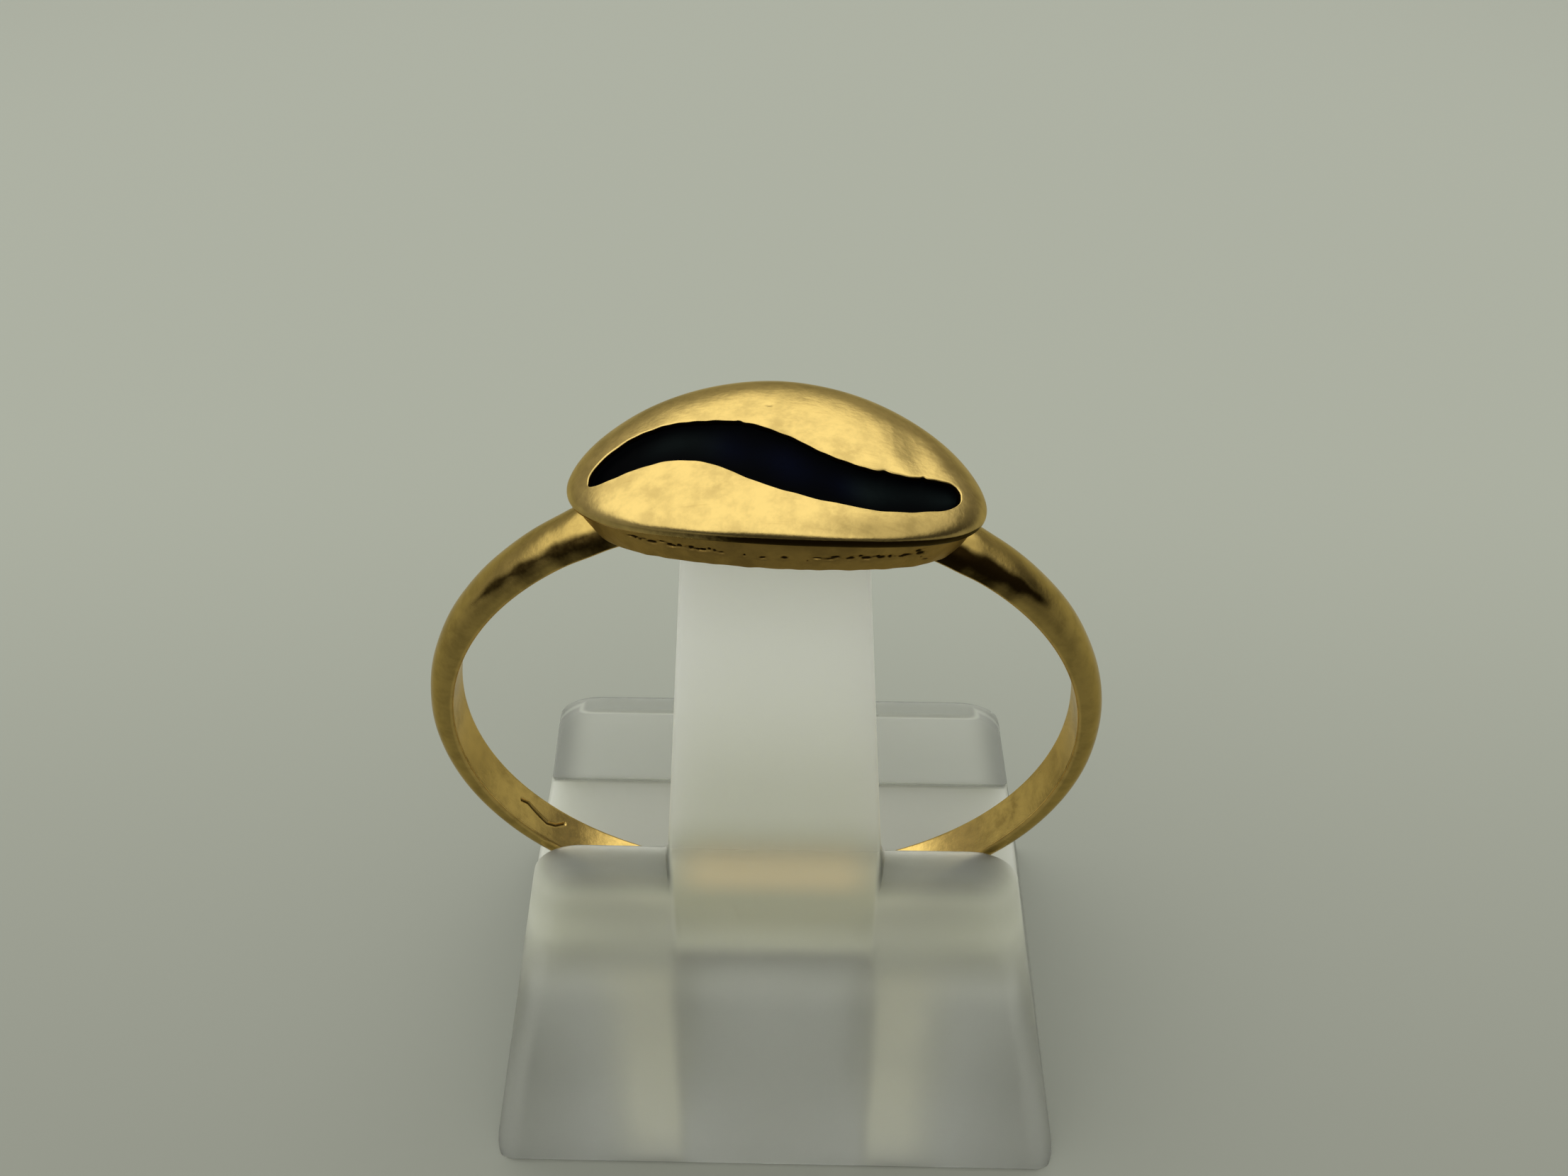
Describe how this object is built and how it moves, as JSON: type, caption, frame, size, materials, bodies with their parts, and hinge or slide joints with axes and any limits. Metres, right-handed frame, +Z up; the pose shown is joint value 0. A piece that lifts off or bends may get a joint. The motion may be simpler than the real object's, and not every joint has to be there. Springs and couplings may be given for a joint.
{
  "type": "coffee bean ring on a display stand",
  "caption": "Gold ring with a coffee bean head and a dark enamelled S-shaped crease, upright in the trough of a small frosted display stand.",
  "frame": {"origin": "middle of the stand's base, on the surface that it stands on", "axes": "+Z up; +X to the right across the ring, as seen from the front; +Y from the front to the back, along the finger hole"},
  "size_m": [0.0206, 0.0136, 0.0306],
  "materials": {
    "gold": "warm yellow gold, satin-polished, with fine scratches",
    "dark_enamel": "near-black glossy enamel with a dark blue sheen",
    "frosted_plastic": "frosted, see-through moulded plastic"
  },
  "bodies": {
    "root": {"gold_ring": "gold", "crease_enamel": "dark_enamel", "display_stand": "frosted_plastic"}
  },
  "joints": []
}
